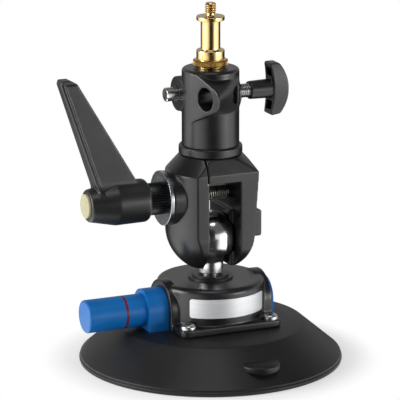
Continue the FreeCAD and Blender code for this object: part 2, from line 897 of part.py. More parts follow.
def make_clamp_lever():
    soft = hub_round * arc_off
    hub = turned_x([
        (-hub_left_x, 0),
        (-hub_left_x, hub_left_r - hub_left_chamfer),
        (-hub_left_x + hub_left_chamfer, hub_left_r),
        (-hub_mid_x, hub_mid_r),
        (-hub_right_x - hub_round, hub_right_r),
        ((-hub_right_x - soft, hub_right_r - soft), (-hub_right_x, hub_right_r - hub_round)),
        (-hub_right_x, 0),
    ], 0, clamp_z)
    lever = hub.fuse(make_lever_arm())
    inner_x = lever_wall_x - lever_wall_t
    lever = lever.cut(rod(lever_bore_r, -hub_left_x, -lever_wall_x, 0, clamp_z))
    screw_hole_r = lever_screw_r + lever_screw_clear
    lever = lever.cut(rod(screw_hole_r, -lever_wall_x - past, -inner_x + past, 0, clamp_z))
    lever = lever.cut(rod(core_r + seat_clear, -inner_x, -tooth_end_x, 0, clamp_z))
    teeth = star_x(core_teeth, core_r + tooth_gap, core_r - tooth_depth + tooth_gap,
                   -tooth_end_x - run_clear, -hub_right_x, clamp_z)
    return lever.cut(teeth).removeSplitter()


def make_lever_cap():
    face = rod(lever_cap_r, -hub_left_x - lever_cap_t, -hub_left_x, 0, clamp_z)
    face = rounded(face, lever_cap_round, lambda e: e.BoundBox.XMax < -hub_left_x - lever_cap_t / 2)
    tail = rod(lever_bore_r - fixed_clear, -hub_left_x, -hub_left_x + lever_cap_tail, 0, clamp_z)
    return face.fuse(tail).removeSplitter()


def make_swivel_ring():
    soft = ring_round * arc_off
    return turned_z([
        (neck_r + fixed_clear, ring_low_z),
        (ring_r - ring_round, ring_low_z),
        ((ring_r - soft, ring_low_z + soft), (ring_r, ring_low_z + ring_round)),
        (ring_r, ring_top_z - ring_round),
        ((ring_r - soft, ring_top_z - soft), (ring_r - ring_round, ring_top_z)),
        (socket_r + fixed_clear, ring_top_z),
        (socket_r + fixed_clear, neck_step_z),
        (neck_r + fixed_clear, neck_step_z),
    ])


def lug_place(along, across, z):
    """A point given along the cross hole's direction and across it."""
    turn = math.radians(lug_angle)
    return V(-along * math.cos(turn) + across * math.sin(turn),
             -along * math.sin(turn) - across * math.cos(turn), z)


def lug_wire(along, root_half, side, side_half, reach):
    """A section of the lug: straight sides from the root to side, then an arc out to reach."""
    return placed([
        (0, lug_z + root_half),
        (side, lug_z + side_half),
        ((reach, lug_z), (side, lug_z - side_half)),
        (0, lug_z - root_half),
    ], lambda across, z: lug_place(along, across, z)).OuterWire


def make_lug():
    tilt = math.radians(lug_slope)
    nose = lug_reach - lug_nose_r
    root_half = nose * math.tan(tilt) + lug_nose_r / math.cos(tilt)
    side = nose + lug_nose_r * math.sin(tilt)
    front = lug_wire(lug_face, root_half, side, lug_nose_r * math.cos(tilt), lug_reach)
    back = lug_wire(-lug_back, lug_back_root_half, lug_back_side, lug_back_half, lug_back_reach)
    lug = Part.makeLoft([front, back], True, True)
    return lug.common(disc(2 * socket_r, neck_step_z, socket_top_z - lug_top_gap))


def make_cross_hole():
    half = cross_hole_w / 2
    straight = (cross_hole_h - cross_hole_w) / 2
    face = placed([
        (cross_offset - half, lug_z - straight),
        ((cross_offset, lug_z - straight - half), (cross_offset + half, lug_z - straight)),
        (cross_offset + half, lug_z + straight),
        ((cross_offset, lug_z + straight + half), (cross_offset - half, lug_z + straight)),
    ], lambda across, z: lug_place(-cross_hole_back, across, z))
    return face.extrude(lug_place(cross_hole_back + lug_face + past, 0, 0))


def make_socket_body():
    soft = socket_round * arc_off
    groove_low = neck_groove_z - neck_groove_w / 2
    groove_high = neck_groove_z + neck_groove_w / 2
    body = turned_z([
        (0, neck_low_z),
        (neck_r - neck_chamfer, neck_low_z),
        (neck_r, neck_low_z + neck_chamfer),
        (neck_r, groove_low),
        (neck_groove_r, groove_low),
        (neck_groove_r, groove_high),
        (neck_r, groove_high),
        (neck_r, neck_step_z),
        (socket_r, neck_step_z),
        (socket_r, socket_top_z - socket_round),
        ((socket_r - soft, socket_top_z - soft), (socket_r - socket_round, socket_top_z)),
        (0, socket_top_z),
    ])
    body = body.fuse(make_lug())
    body = body.fuse(rod(screw_boss_r, 0, screw_boss_x, 0, screw_z))
    body = body.fuse(rod(latch_boss_r, -latch_boss_x, 0, latch_y, latch_z))
    body = body.fuse(rod(latch_back_r, 0, latch_back_x, latch_y, latch_z))
    body = body.cut(disc(spigot_r + run_clear, bore_floor_z, socket_top_z))
    body = body.cut(make_cross_hole())
    body = body.cut(rod(t_screw_r + run_clear, 0, screw_boss_x + past, 0, screw_z))
    body = body.cut(rod(latch_r + run_clear, -latch_boss_x - past, latch_floor_x, latch_y, latch_z))
    body = body.cut(key_rod(key_r + run_clear, latch_y, latch_y + latch_boss_r + past))
    return body.removeSplitter()


def key_rod(r, y0, y1):
    return Part.makeCylinder(r, y1 - y0, V(key_x, y0, latch_z), V(0, 1, 0))


def make_latch_key():
    y_tip = latch_y + latch_r - key_depth + fixed_clear
    y_end = latch_y + latch_boss_r - key_recess
    key = key_rod(key_r, y_tip, y_end)
    slot = block(key_x - key_r, key_x + key_r, y_end - key_slot_depth, y_end,
                 latch_z - key_slot_half, latch_z + key_slot_half)
    return key.cut(slot)


def make_latch_pin():
    pin = rod(latch_r, -latch_out_x, latch_in_x, latch_y, latch_z)
    pin = pin.makeChamfer(latch_chamfer, [e for e in pin.Edges if e.BoundBox.XMax < -latch_boss_x])
    notch = disc(spigot_r + run_clear, latch_z - 2 * latch_r, latch_z + 2 * latch_r, -latch_travel, 0)
    side = key_r + fixed_clear
    keyway = block(key_x - side - latch_travel, key_x + side,
                   latch_y + latch_r - key_depth, latch_y + latch_r + past, latch_z - side, latch_z + side)
    return pin.cut(notch).cut(keyway)


def make_latch_spring():
    return coil_x("latch", latch_spring_r, latch_spring_wire_r, latch_spring_turns,
                  latch_in_x, latch_floor_x, latch_y, latch_z)


def make_spigot():
    shank = turned_z([
        (0, spigot_low_z),
        (spigot_shank_r - spigot_edge, spigot_low_z),
        (spigot_shank_r, spigot_low_z + spigot_edge),
        (spigot_shank_r, recess_low_z),
        (recess_r, recess_low_z),
        (recess_r, recess_high_z),
        (spigot_shank_r, recess_high_z),
        (spigot_shank_r, knurl_low_z),
        (spigot_r, knurl_low_z),
        (spigot_r, spigot_collar_z),
        (spigot_neck_r, spigot_collar_z),
        (spigot_neck_r, spigot_flange_z),
        (spigot_r, spigot_flange_z),
        (spigot_r, spigot_flange_top_z),
        (relief_r, spigot_flange_top_z),
        (relief_r, relief_z),
        (stud_r, relief_z),
        (stud_r, stud_top_z - stud_chamfer),
        (stud_r - stud_chamfer, stud_top_z),
        (0, stud_top_z),
    ])
    knurl = prism_z(star(knurl_teeth, knurl_r, knurl_r - knurl_depth), knurl_low_z, knurl_high_z)
    return shank.fuse(knurl).removeSplitter()


def make_t_screw():
    return rod(t_screw_r, t_screw_tip, knob_x + t_screw_hold, 0, screw_z)


def make_t_knob():
    hub = turned_x([
        (knob_x, 0),
        (knob_x, knob_hub_low_r - knob_hub_chamfer),
        (knob_x + knob_hub_chamfer, knob_hub_low_r),
        (wing_x + wing_root, knob_hub_high_r),
        (wing_x + wing_root, 0),
    ], 0, screw_z)
    low = screw_z - wing_half_z
    high = screw_z + wing_half_z
    side = prism_y([
        (wing_inner_end_x, low + wing_end_corner),
        (wing_inner_end_x + wing_inner_corner, low),
        (wing_end_x, low + wing_bow),
        ((wing_out_x, screw_z), (wing_end_x, high - wing_bow)),
        (wing_end_x - wing_end_corner, high),
        (wing_inner_end_x + wing_inner_corner / 2, high),
        (wing_inner_end_x, high - wing_end_corner),
        ((wing_inner_x, screw_z), (wing_inner_end_x, low + wing_end_corner)),
    ], -wing_half_y, wing_half_y)
    lens = prism_x([
        (-wing_end_half_y, low),
        (wing_end_half_y, low),
        ((wing_half_y, screw_z), (wing_end_half_y, high)),
        (-wing_end_half_y, high),
        ((-wing_half_y, screw_z), (-wing_end_half_y, low)),
    ], wing_inner_end_x - past, wing_out_x + past)
    knob = side.common(lens).fuse(hub)
    half = wing_end_half_y - wing_wall / 2
    for end in (-1, 1):
        near = screw_z + end * (knob_hub_high_r + wing_wall)
        far = screw_z + end * (wing_half_z - 2 * wing_wall)
        knob = knob.cut(block(wing_inner_end_x - past, wing_x + wing_pocket_depth, -half, half,
                              min(near, far), max(near, far)))
    hole = rod(t_screw_r + fixed_clear / 2, knob_x - past, knob_x + t_screw_hold, 0, screw_z)
    return knob.cut(hole).removeSplitter()


save("suction_cup", make_suction_cup())
save("cup_plate", make_cup_plate())
save("pump_housing", make_pump_housing())
save("housing_screws", make_housing_screws())
save("label_plate", make_label_plate())
save("check_valve", make_check_valve())
save("pump_body", make_pump_body())
save("valve_body", make_valve_body())
save("stud_washer", make_stud_washer())
save("plunger", make_plunger())
save("plunger_mark", make_plunger_mark())
save("piston", make_piston())
save("piston_seal", make_piston_seal())
save("plunger_spring", make_plunger_spring())
save("valve_stem", make_valve_stem())
save("valve_spring", make_valve_spring())
save("ball_stud", make_ball_stud())
save("fixed_jaw", make_fixed_jaw())
save("clamp_nut", make_clamp_nut())
save("swivel_retainer", make_swivel_retainer())
save("moving_jaw", make_moving_jaw())
save("clamp_spring", make_clamp_spring())
save("clamp_washer", make_clamp_washer())
save("ratchet_core", make_ratchet_core())
save("clamp_bolt", make_clamp_bolt())
save("lever_screw", make_lever_screw())
save("lever_spring", make_lever_spring())
save("clamp_lever", make_clamp_lever())
save("lever_cap", make_lever_cap())
save("swivel_ring", make_swivel_ring())
save("socket_body", make_socket_body())
save("latch_key", make_latch_key())
save("latch_pin", make_latch_pin())
save("latch_spring", make_latch_spring())
save("spigot", make_spigot())
save("t_screw", make_t_screw())
save("t_knob", make_t_knob())
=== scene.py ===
import bmesh
import bpy
import math
from mathutils import Matrix, Vector


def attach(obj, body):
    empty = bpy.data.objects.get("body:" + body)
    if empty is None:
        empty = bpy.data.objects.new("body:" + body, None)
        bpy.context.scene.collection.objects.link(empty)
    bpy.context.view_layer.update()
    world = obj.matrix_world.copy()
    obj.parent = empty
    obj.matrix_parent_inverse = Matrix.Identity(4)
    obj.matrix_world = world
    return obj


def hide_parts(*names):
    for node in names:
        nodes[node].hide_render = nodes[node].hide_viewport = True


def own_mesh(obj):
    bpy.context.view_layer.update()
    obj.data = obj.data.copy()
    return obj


# Suction-cup mount: pump base, ball and fork clamp, ratchet lever, swivelling socket and brass spigot.
# Metres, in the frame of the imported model. X runs along the pump, and -Y is the front.

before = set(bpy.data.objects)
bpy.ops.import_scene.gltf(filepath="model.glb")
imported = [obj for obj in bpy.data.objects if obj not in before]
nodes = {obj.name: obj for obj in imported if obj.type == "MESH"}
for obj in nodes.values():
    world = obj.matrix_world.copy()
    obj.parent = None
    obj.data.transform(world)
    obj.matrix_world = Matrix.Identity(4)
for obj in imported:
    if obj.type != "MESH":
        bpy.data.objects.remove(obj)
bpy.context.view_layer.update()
mm = 0.001
print("frame loaded:", len(nodes), "nodes")


# A value or colour in a shader tree. Sums, differences, products and powers of values add Math nodes.
class Wire:
    def __init__(self, finish, socket):
        self.finish = finish
        self.socket = socket

    def maths(self, operation, first, second):
        return self.finish.add("ShaderNodeMath", {"operation": operation}, {0: first, 1: second})

    def __add__(self, other):
        return self.maths("ADD", self, other)

    def __sub__(self, other):
        return self.maths("SUBTRACT", self, other)

    def __rsub__(self, other):
        return self.maths("SUBTRACT", other, self)

    def __mul__(self, other):
        return self.maths("MULTIPLY", self, other)

    def __pow__(self, other):
        return self.maths("POWER", self, other)

    __radd__ = __add__


# A material or world under construction
class Finish:
    def __init__(self, holder):
        self.holder = holder
        holder.use_nodes = True
        self.tree = holder.node_tree
        self.tree.nodes.clear()

    def add(self, kind, settings=None, sockets=None, out=0):
        node = self.tree.nodes.new(kind)
        for key, value in (settings or {}).items():
            setattr(node, key, value)
        for key, value in (sockets or {}).items():
            if isinstance(value, Wire):
                self.tree.links.new(value.socket, node.inputs[key])
            else:
                node.inputs[key].default_value = value
        return Wire(self, node.outputs[out]) if node.outputs else node

    def place(self):
        return self.add("ShaderNodeTexCoord", out="Object")

    def axes(self, vector):
        split = self.add("ShaderNodeSeparateXYZ", {}, {0: vector})
        outputs = split.socket.node.outputs
        return [Wire(self, outputs[k]) for k in range(3)]

    def noise(self, vector, scale, detail, roughness):
        sockets = {"Vector": vector, "Scale": scale, "Detail": detail, "Roughness": roughness}
        return self.add("ShaderNodeTexNoise", {}, sockets)

    def stretched(self, vector, scales):
        return self.add("ShaderNodeVectorMath", {"operation": "MULTIPLY"}, {0: vector, 1: scales})

    def spread(self, value, low, high, outLow, outHigh):
        sockets = {"Value": value, "From Min": low, "From Max": high, "To Min": outLow, "To Max": outHigh}
        return self.add("ShaderNodeMapRange", {"interpolation_type": "SMOOTHSTEP"}, sockets)

    def mix(self, share, first, second):
        return self.add("ShaderNodeMix", {"data_type": "RGBA"}, {0: share, 6: first, 7: second}, out=2)

    def bump(self, height, depth, strength):
        return self.add("ShaderNodeBump", {}, {"Height": height, "Distance": depth, "Strength": strength})

    # Above zero for what the camera sees, straight or by way of a mirror or a clear body
    def seen(self):
        straight = self.add("ShaderNodeLightPath", out="Is Camera Ray")
        shiny = self.add("ShaderNodeLightPath", out="Is Glossy Ray")
        through = self.add("ShaderNodeLightPath", out="Is Transmission Ray")
        return straight + shiny + through

    def shade(self, **sockets):
        named = {key.replace("_", " "): value for key, value in sockets.items()}
        shader = self.add("ShaderNodeBsdfPrincipled", {}, named)
        self.add("ShaderNodeOutputMaterial", {}, {"Surface": shader})
        return self.holder


# A screen colour, 0 to 255, as the linear colour that renders as it
def tone(red, green, blue):
    linear = []
    for value in (red, green, blue):
        share = value / 255
        linear.append(share / 12.92 if share <= 0.04045 else ((share + 0.055) / 1.055) ** 2.4)
    return (*linear, 1.0)


def newFinish(name):
    return Finish(bpy.data.materials.new(name))


noiseMiddle = 0.5         # a noise texture's mean value

# Painted metal and moulded black plastic. The scales of grain and clouds are per metre.
castPaint = {"dark": tone(18, 18, 19), "light": tone(31, 31, 33), "roughness": 0.30, "gloss": 0.5,
             "grain": 1500, "depth": 0.00005}
nylonBlack = {"dark": tone(22, 22, 23), "light": tone(32, 32, 33), "roughness": 0.38, "gloss": 0.5,
              "grain": 2600, "depth": 0.00003}
ringPlastic = {"dark": tone(13, 13, 14), "light": tone(20, 20, 21), "roughness": 0.34, "gloss": 0.5,
               "grain": 2200, "depth": 0.00002}
castMarks = {"clouds": 45.0, "cloudRough": 0.12, "grainRough": 0.10, "bump": 0.5}


def castFinish(name, plan):
    f = newFinish(name)
    place = f.place()
    grain = f.noise(place, plan["grain"], detail=3.0, roughness=0.6)
    clouds = f.noise(place, castMarks["clouds"], detail=3.0, roughness=0.55)
    share = f.spread(clouds, low=0.35, high=0.7, outLow=0.0, outHigh=1.0)
    colour = f.mix(share, plan["dark"], plan["light"])
    rough = plan["roughness"] + (clouds - noiseMiddle) * castMarks["cloudRough"]
    rough = rough + (grain - noiseMiddle) * castMarks["grainRough"]
    return f.shade(Base_Color=colour, Roughness=rough, Specular_IOR_Level=plan["gloss"],
                   Normal=f.bump(grain, plan["depth"], castMarks["bump"]))


rubberPlan = {"dark": tone(15, 15, 16), "light": tone(25, 25, 26), "dust": tone(42, 42, 43),
              "roughness": 0.45, "gloss": 0.4, "skin": 900.0, "clouds": 30.0, "specks": 1400.0,
              "speckShare": 0.35, "cloudRough": 0.16, "depth": 0.00004, "bump": 0.4}


def rubberFinish():
    plan = rubberPlan
    f = newFinish("cupRubber")
    place = f.place()
    skin = f.noise(place, plan["skin"], detail=2.0, roughness=0.5)
    clouds = f.noise(place, plan["clouds"], detail=4.0, roughness=0.6)
    share = f.spread(clouds, low=0.3, high=0.75, outLow=0.0, outHigh=1.0)
    colour = f.mix(share, plan["dark"], plan["light"])
    dots = f.noise(place, plan["specks"], detail=1.0, roughness=0.5)
    specks = f.spread(dots, low=0.72, high=0.8, outLow=0.0, outHigh=plan["speckShare"])
    colour = f.mix(specks, colour, plan["dust"])
    rough = plan["roughness"] + (clouds - noiseMiddle) * plan["cloudRough"]
    return f.shade(Base_Color=colour, Roughness=rough, Specular_IOR_Level=plan["gloss"],
                   Normal=f.bump(skin, plan["depth"], plan["bump"]))


bluePlastic = {"base": tone(0, 107, 182), "deep": tone(0, 96, 168), "roughness": 0.42, "gloss": 0.3}
redBand = {"base": tone(112, 18, 52), "deep": tone(92, 12, 42), "roughness": 0.4, "gloss": 0.4}
creamCap = {"base": tone(200, 193, 160), "deep": tone(188, 181, 148), "roughness": 0.42, "gloss": 0.35}
plasticMarks = {"clouds": 60.0, "grain": 1800.0, "grainRough": 0.08, "depth": 0.00002, "bump": 0.35}


def plasticFinish(name, plan):
    marks = plasticMarks
    f = newFinish(name)
    place = f.place()
    clouds = f.noise(place, marks["clouds"], detail=2.0, roughness=0.5)
    grain = f.noise(place, marks["grain"], detail=2.0, roughness=0.5)
    share = f.spread(clouds, low=0.3, high=0.7, outLow=0.0, outHigh=1.0)
    colour = f.mix(share, plan["deep"], plan["base"])
    rough = plan["roughness"] + (grain - noiseMiddle) * marks["grainRough"]
    return f.shade(Base_Color=colour, Roughness=rough, Specular_IOR_Level=plan["gloss"],
                   Normal=f.bump(grain, marks["depth"], marks["bump"]))


metalMarks = {"x": (9000.0, 60.0, 60.0), "z": (60.0, 60.0, 9000.0), "even": (400.0, 400.0, 400.0),
              "clouds": 90.0, "lineRough": 0.7, "stainShare": 0.6, "stainRough": 0.08, "depth": 0.00001,
              "bump": 0.5}


# Turned or drawn metal: fine rings across the axis that is named, or an even grain, and a faint tarnish
def metalFinish(name, colour, stain, roughness, rings="even"):
    marks = metalMarks
    f = newFinish(name)
    place = f.place()
    lines = f.noise(f.stretched(place, marks[rings]), 1.0, detail=2.0, roughness=0.6)
    clouds = f.noise(place, marks["clouds"], detail=3.0, roughness=0.6)
    share = f.spread(clouds, low=0.45, high=0.8, outLow=0.0, outHigh=marks["stainShare"])
    base = f.mix(share, colour, stain)
    dull = f.spread(clouds, low=0.5, high=0.8, outLow=0.0, outHigh=marks["stainRough"])
    rough = roughness + (lines - noiseMiddle) * roughness * marks["lineRough"] + dull
    return f.shade(Base_Color=base, Metallic=1.0, Roughness=rough,
                   Normal=f.bump(lines, marks["depth"], marks["bump"]))


labelPlan = {"dark": tone(214, 215, 217), "light": tone(232, 233, 235), "brush": (60.0, 60.0, 6000.0),
             "metallic": 0.35, "roughness": 0.38, "lineRough": 0.2, "depth": 0.00001, "bump": 0.4}


def labelFinish():
    plan = labelPlan
    f = newFinish("labelFoil")
    place = f.place()
    lines = f.noise(f.stretched(place, plan["brush"]), 1.0, detail=2.0, roughness=0.6)
    share = f.spread(lines, low=0.3, high=0.7, outLow=0.0, outHigh=1.0)
    base = f.mix(share, plan["dark"], plan["light"])
    rough = plan["roughness"] + (lines - noiseMiddle) * plan["lineRough"]
    return f.shade(Base_Color=base, Metallic=plan["metallic"], Roughness=rough,
                   Normal=f.bump(lines, plan["depth"], plan["bump"]))


finishes = {
    "cast": castFinish("castPaint", castPaint),
    "nylon": castFinish("blackNylon", nylonBlack),
    "ring": castFinish("ringPlastic", ringPlastic),
    "rubber": rubberFinish(),
    "blue": plasticFinish("bluePlastic", bluePlastic),
    "red": plasticFinish("redBand", redBand),
    "cream": plasticFinish("creamCap", creamCap),
    "brass": metalFinish("brass", tone(216, 188, 130), tone(190, 156, 96), 0.18, "z"),
    "brassDull": metalFinish("brassDull", tone(150, 118, 62), tone(104, 78, 38), 0.42),
    "chrome": metalFinish("chrome", tone(222, 223, 224), tone(200, 201, 204), 0.19),
    "steel": metalFinish("steel", tone(186, 187, 188), tone(150, 152, 155), 0.26, "x"),
    "washer": metalFinish("washerSteel", tone(176, 178, 182), tone(140, 143, 148), 0.22),
    "zinc": metalFinish("zinc", tone(196, 197, 198), tone(160, 162, 166), 0.28, "z"),
    "wire": metalFinish("springWire", tone(214, 212, 200), tone(184, 182, 168), 0.30),
    "blackened": metalFinish("blackenedSteel", tone(58, 59, 61), tone(40, 41, 43), 0.36, "x"),
    "label": labelFinish(),
}
print("finishes made:", len(finishes))

# The nodes that each finish dresses. The replaced nodes aren't among them.
wears = {
    "cast": ["pump_housing", "fixed_jaw", "moving_jaw", "socket_body"],
    "nylon": ["clamp_lever", "t_knob", "stud_washer"],
    "ring": ["swivel_ring", "piston_seal", "check_valve"],
    "blue": ["pump_body", "valve_body", "plunger", "piston", "valve_stem"],
    "red": ["plunger_mark"],
    "cream": ["lever_cap"],
    "chrome": ["latch_pin"],
    "steel": ["clamp_bolt", "clamp_nut", "swivel_retainer", "lever_screw"],
    "washer": ["clamp_washer"],
    "wire": ["clamp_spring"],
    "blackened": ["ratchet_core", "latch_key"],
    "zinc": ["housing_screws", "cup_plate"],
    "label": ["label_plate"],
}


def linked(name, data):
    piece = bpy.data.objects.new(name, data)
    bpy.context.scene.collection.objects.link(piece)
    return piece


def dress(piece, finish):
    piece.data.materials.clear()
    piece.data.materials.append(finishes[finish])


for finish, worn in wears.items():
    for name in worn:
        dress(nodes[name], finish)
print("nodes dressed")


smoothShare = 0.5         # how far each smoothing pass moves a corner towards its neighbours' middle


# Rounds the edges of a cast or moulded node: a fine remesh, a smoothing, and fewer faces again
def softened(name, voxel, passes, keep):
    piece = nodes[name]
    remesh = piece.modifiers.new("skin", "REMESH")
    remesh.mode = "VOXEL"
    remesh.voxel_size = voxel
    remesh.use_smooth_shade = True
    smooth = piece.modifiers.new("soften", "SMOOTH")
    smooth.factor = smoothShare
    smooth.iterations = passes
    fewer = piece.modifiers.new("fewer", "DECIMATE")
    fewer.ratio = keep


# For each piece: the voxel's size in metres, the smoothing passes and the share of the faces that is kept
castSkin = {
    "pump_housing": (0.45 * mm, 8, 0.35),
    "fixed_jaw": (0.4 * mm, 8, 0.35),
    "moving_jaw": (0.4 * mm, 8, 0.35),
    "socket_body": (0.4 * mm, 6, 0.35),
    "clamp_lever": (0.4 * mm, 6, 0.35),
    "t_knob": (0.3 * mm, 6, 0.4),
}
for name, (voxel, passes, keep) in castSkin.items():
    softened(name, voxel, passes, keep)
print("cast skins set")


# A corner of an outline, rounded: points on the arc that touches both of its lines
def roundedCorner(before, corner, after, radius, parts):
    here = Vector(corner)
    back = (Vector(before) - here).normalized()
    ahead = (Vector(after) - here).normalized()
    half = back.angle(ahead) / 2
    reach = radius / math.tan(half)
    middle = here + (back + ahead).normalized() * (radius / math.sin(half))
    start = here + back * reach - middle
    end = here + ahead * reach - middle
    sweep = start.angle_signed(end)
    arc = []
    for k in range(parts + 1):
        turn = -sweep * k / parts
        spun = Vector((start.x * math.cos(turn) - start.y * math.sin(turn),
                       start.x * math.sin(turn) + start.y * math.cos(turn)))
        arc.append(tuple(middle + spun))
    return arc


# An outline of (radius, height) in millimetres; a third number rounds that corner
def eased(outline, parts=4):
    points = []
    for k, corner in enumerate(outline):
        if len(corner) == 2:
            points.append(corner)
        else:
            points += roundedCorner(outline[k - 1][:2], corner[:2], outline[k + 1][:2], corner[2], parts)
    return points


# Splits the runs of an outline so that no step is longer than step
def filled(points, step):
    out = [points[0]]
    for start, end in zip(points, points[1:]):
        count = max(1, math.ceil(math.dist(start, end) / step))
        for k in range(1, count + 1):
            out.append(tuple(a + (b - a) * k / count for a, b in zip(start, end)))
    return out


onAxis = 1e-6             # a row closer to the axis than this is one point


# A turned piece from rows of (radius, height). relief(radius, height, turn) gives each point's own radius.
def turned(name, rows, sides, place=Matrix(), relief=None):
    mesh = bpy.data.meshes.new(name)
    build = bmesh.new()
    rings = []
    for radius, height in rows:
        if radius < onAxis:
            rings.append([build.verts.new((0, 0, height * mm))])
            continue
        ring = []
        for k in range(sides):
            turn = 2 * math.pi * k / sides
            r = relief(radius, height, turn) if relief else radius
            ring.append(build.verts.new((r * mm * math.cos(turn), r * mm * math.sin(turn), height * mm)))
        rings.append(ring)
    for low, high in zip(rings, rings[1:]):
        for k in range(sides):
            after = (k + 1) % sides
            corners = [low[k % len(low)], low[after % len(low)], high[after % len(high)], high[k % len(high)]]
            distinct = list(dict.fromkeys(corners))
            if len(distinct) > 2:
                build.faces.new(distinct)
    build.transform(place)
    bmesh.ops.recalc_face_normals(build, faces=build.faces)
    build.to_mesh(mesh)
    build.free()
    mesh.shade_smooth()
    return linked(name, mesh)


# Keeps the sharp edges of a turned piece crisp while the rest shades smoothly
def crisp(piece, angle):
    limit = math.radians(angle)
    build = bmesh.new()
    build.from_mesh(piece.data)
    for edge in build.edges:
        edge.smooth = len(edge.link_faces) < 2 or edge.calc_face_angle(0.0) < limit
    build.to_mesh(piece.data)
    build.free()


threadSlope = 1.6         # steepness of a thread's flanks
threadRoot = 0.3          # share that is cut off flat at its root


# Height of a screw thread at a turn: 0 at its root and 1 at its crest
def threadShare(height, turn, pitch):
    lead = (height / pitch - turn / (2 * math.pi)) % 1.0
    return min(1.0, max(0.0, threadSlope * (1.0 - abs(2 * lead - 1.0)) - threadRoot))


def alongX(height):
    return Matrix.Translation((0, 0, height * mm)) @ Matrix.Rotation(math.radians(90), 4, "Y")


cup = {"rim": 76.0, "sides": 192, "step": 4.0}
tab = {"across": 2.8, "front": -62.0, "radius": 11.3, "low": 9.6, "top": 14.5, "step": 1.5, "sides": 72}


def makeCup():
    rim = cup["rim"]
    outline = [
        (3.0, 8.0), (64.0, 8.0, 1.5), (68.0, 0.6, 0.5), (69.2, 0.1), (70.6, 0.0), (70.9, 0.5), (71.2, 0.0),
        (73.0, 0.0), (73.3, 0.5), (73.6, 0.0), (rim - 0.3, 0.0, 0.25), (rim, 0.9, 0.5), (rim, 1.9, 0.5),
        (rim - 0.7, 2.5, 0.15), (rim - 0.6, 2.9, 0.2), (rim - 0.55, 3.5, 0.5), (54.0, 21.8, 2.2),
        (45.0, 23.0, 6.0), (32.0, 22.96), (3.0, 22.96), (3.0, 8.0),
    ]
    piece = turned("cupSkin", filled(eased(outline), cup["step"]), cup["sides"])
    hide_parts("suction_cup")
    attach(piece, "base")
    dress(piece, "rubber")


def makeTab():
    r = tab["radius"]
    outline = [
        (0.0, tab["low"]), (r - 0.8, tab["low"], 0.5), (r - 0.1, tab["low"] + 1.2, 1.0),
        (r, tab["top"] - 1.0, 1.0), (r - 2.4, tab["top"] + 0.25, 2.5), (0.0, tab["top"]),
    ]
    where = Matrix.Translation((tab["across"] * mm, tab["front"] * mm, 0))
    piece = turned("fingerTab", filled(eased(outline), tab["step"]), tab["sides"], where)
    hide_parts("suction_cup")
    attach(piece, "base")
    dress(piece, "rubber")


# The spigot in millimetres. The knurl lies outside rim, and the thread of the stud from low to high, where
# the radius is over bare.
spigot = {"teeth": 80, "knurl": 0.35, "sides": 240, "step": 2.5, "rim": 9.9, "crest": 3.175, "start": 202.4,
          "low": 202.3, "high": 207.8, "bare": 3.1, "ring": 0.11, "rings": 49, "pitch": 1.27, "thread": 0.62,
          "fade": 0.6, "edge": 38.0}
# Faces that wear the dull brass: the knurled rim and the thread's grooves, as low, high and radius in metres
dullRim = (0.1724, 0.1761, 0.0092)
dullGroove = (0.2025, 0.2078, 0.0028)


def makeSpigot():
    outline = [
        (0.0, 136.0), (7.8, 136.0, 0.6), (7.8, 144.5, 0.2), (5.5, 144.5), (5.5, 166.3), (7.8, 166.3, 0.2),
        (7.8, 172.5), (9.2, 172.5), (10.0, 173.1), (10.0, 175.4), (9.2, 176.0, 0.2), (7.7, 176.0),
        (7.7, 176.5), (8.0, 176.8), (8.0, 181.6, 0.6), (5.55, 181.6, 0.5), (5.55, 198.4, 0.5),
        (8.0, 198.4, 0.4), (8.0, 200.8, 0.4), (2.6, 200.8), (2.45, 201.0), (2.45, 202.4),
    ]
    rows = filled(eased(outline, 5), spigot["step"])
    rows += [(spigot["crest"], spigot["start"] + spigot["ring"] * k) for k in range(spigot["rings"])]
    rows += [(2.95, 207.9), (2.55, 208.3), (0.0, 208.3)]

    def relief(radius, height, turn):
        if radius > spigot["rim"]:
            return radius - spigot["knurl"] * (0.5 - 0.5 * math.cos(spigot["teeth"] * turn))
        if radius > spigot["bare"] and spigot["low"] < height < spigot["high"]:
            fade = min(1.0, (height - spigot["low"]) / spigot["fade"])
            return radius - spigot["thread"] * (1.0 - threadShare(height, turn, spigot["pitch"]) * fade)
        return radius

    piece = turned("spigotTurned", rows, spigot["sides"], relief=relief)
    crisp(piece, spigot["edge"])
    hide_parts("spigot")
    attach(piece, "spigot")
    piece.data.materials.append(finishes["brass"])
    piece.data.materials.append(finishes["brassDull"])
    for face in piece.data.polygons:
        middle = face.center
        out = math.hypot(middle.x, middle.y)
        inRim = dullRim[0] < middle.z < dullRim[1] and out > dullRim[2]
        inGroove = dullGroove[0] < middle.z < dullGroove[1] and out < dullGroove[2]
        if inRim or inGroove:
            face.material_index = 1


clampScrew = {"pitch": 1.25, "height": 155.8, "start": 5.8, "end": 31.4, "radius": 4.0, "thread": 0.62,
              "tip": 3.1, "root": 3.4, "ease": 0.3, "easeEnd": 0.1, "lead": 0.5, "plain": 0.8, "ring": 0.13,
              "sides": 60}


def makeClampScrew():
    plan = clampScrew
    rows = [(0.0, plan["start"]), (plan["tip"], plan["start"]), (plan["root"], plan["start"] + plan["ease"])]
    count = int((plan["end"] - plan["start"] - plan["plain"]) / plan["ring"])
    rows += [(plan["radius"], plan["start"] + plan["lead"] + plan["ring"] * k) for k in range(count)]
    rows += [(plan["root"], plan["end"] - plan["easeEnd"]), (0.0, plan["end"])]

    def relief(radius, height, turn):
        if radius < plan["radius"]:
            return radius
        return radius - plan["thread"] * (1.0 - threadShare(height, turn, plan["pitch"]))

    piece = turned("clampScrewCut", rows, plan["sides"], alongX(plan["height"]), relief)
    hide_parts("t_screw")
    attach(piece, "t_screw")
    dress(piece, "steel")


